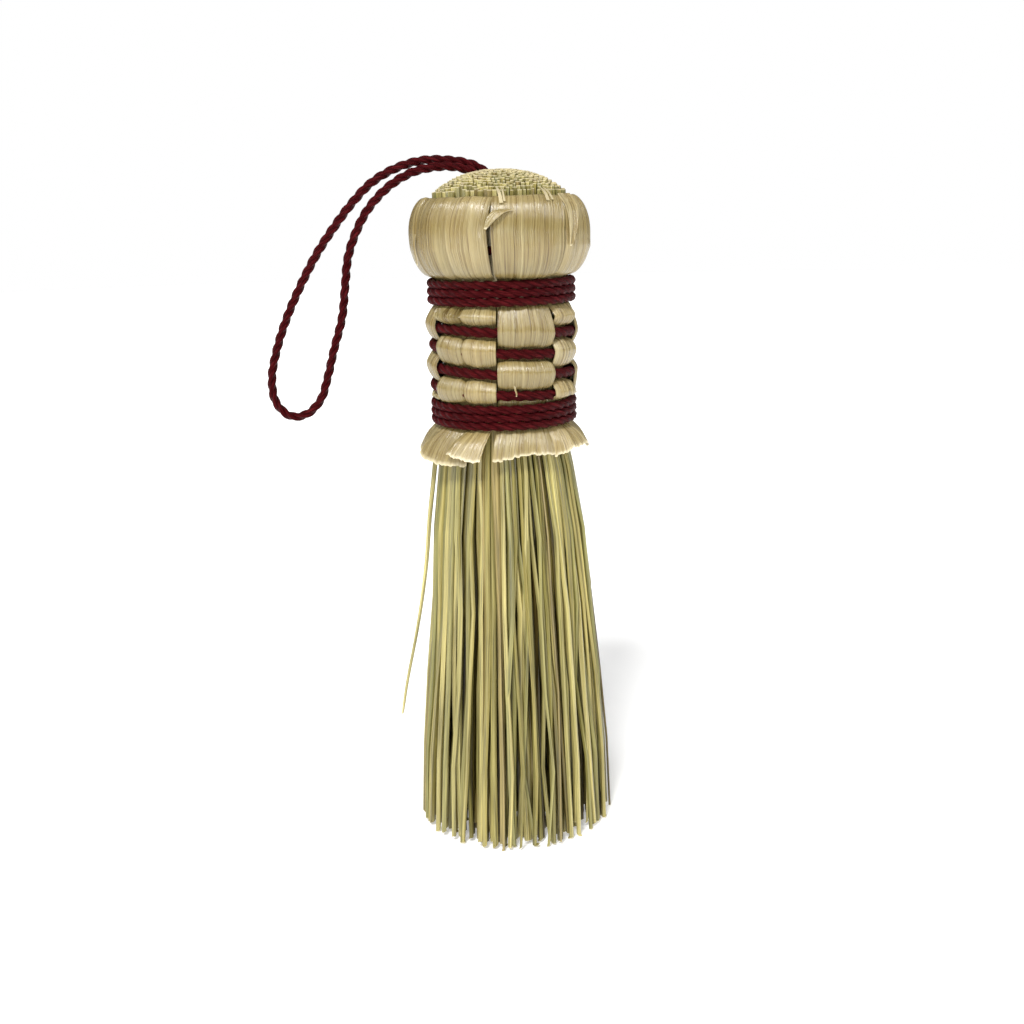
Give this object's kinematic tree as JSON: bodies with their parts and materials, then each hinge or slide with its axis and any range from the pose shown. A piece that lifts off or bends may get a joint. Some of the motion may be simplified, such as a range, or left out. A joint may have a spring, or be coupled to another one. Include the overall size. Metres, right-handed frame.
{
  "type": "broomcorn hand whisk",
  "caption": "Hand whisk of long straw stems in folded stalk-skin strips, bound and woven with twisted cord, with a hanging loop at the crown.",
  "frame": {"origin": "middle of the flat brush end, on the surface that the whisk stands on", "axes": "+Z along the whisk from the brush end up to the crown; the front with the wide woven strip faces -Y; the loop hangs towards -X"},
  "size_m": [0.0902, 0.0524, 0.1845],
  "materials": {
    "stem": "dry straw, satin",
    "stalk_skin": "smooth satin skin with fine lengthwise fibres",
    "cord": "twisted maroon cord with a soft sheen"
  },
  "bodies": {
    "root": {"core_lock": "stem", "middle_lock_1": "stem", "middle_lock_2": "stem", "middle_lock_3": "stem", "middle_lock_4": "stem", "middle_lock_5": "stem", "middle_lock_6": "stem", "outer_lock_1": "stem", "outer_lock_2": "stem", "outer_lock_3": "stem", "outer_lock_4": "stem", "outer_lock_5": "stem", "outer_lock_6": "stem", "outer_lock_7": "stem", "outer_lock_8": "stem", "outer_lock_9": "stem", "outer_lock_10": "stem", "outer_lock_11": "stem", "outer_lock_12": "stem", "stray_stem": "stem", "strip_a": "stalk_skin", "strip_b1": "stalk_skin", "strip_b2": "stalk_skin", "strip_c": "stalk_skin", "strip_d": "stalk_skin", "strip_e1": "stalk_skin", "strip_e2": "stalk_skin", "strip_f": "stalk_skin", "strip_g1": "stalk_skin", "strip_g2": "stalk_skin", "upper_binding": "cord", "weft_cord": "cord", "lower_binding": "cord", "inner_tie": "cord", "hanging_loop": "cord", "loop_knot": "cord"}
  },
  "joints": []
}
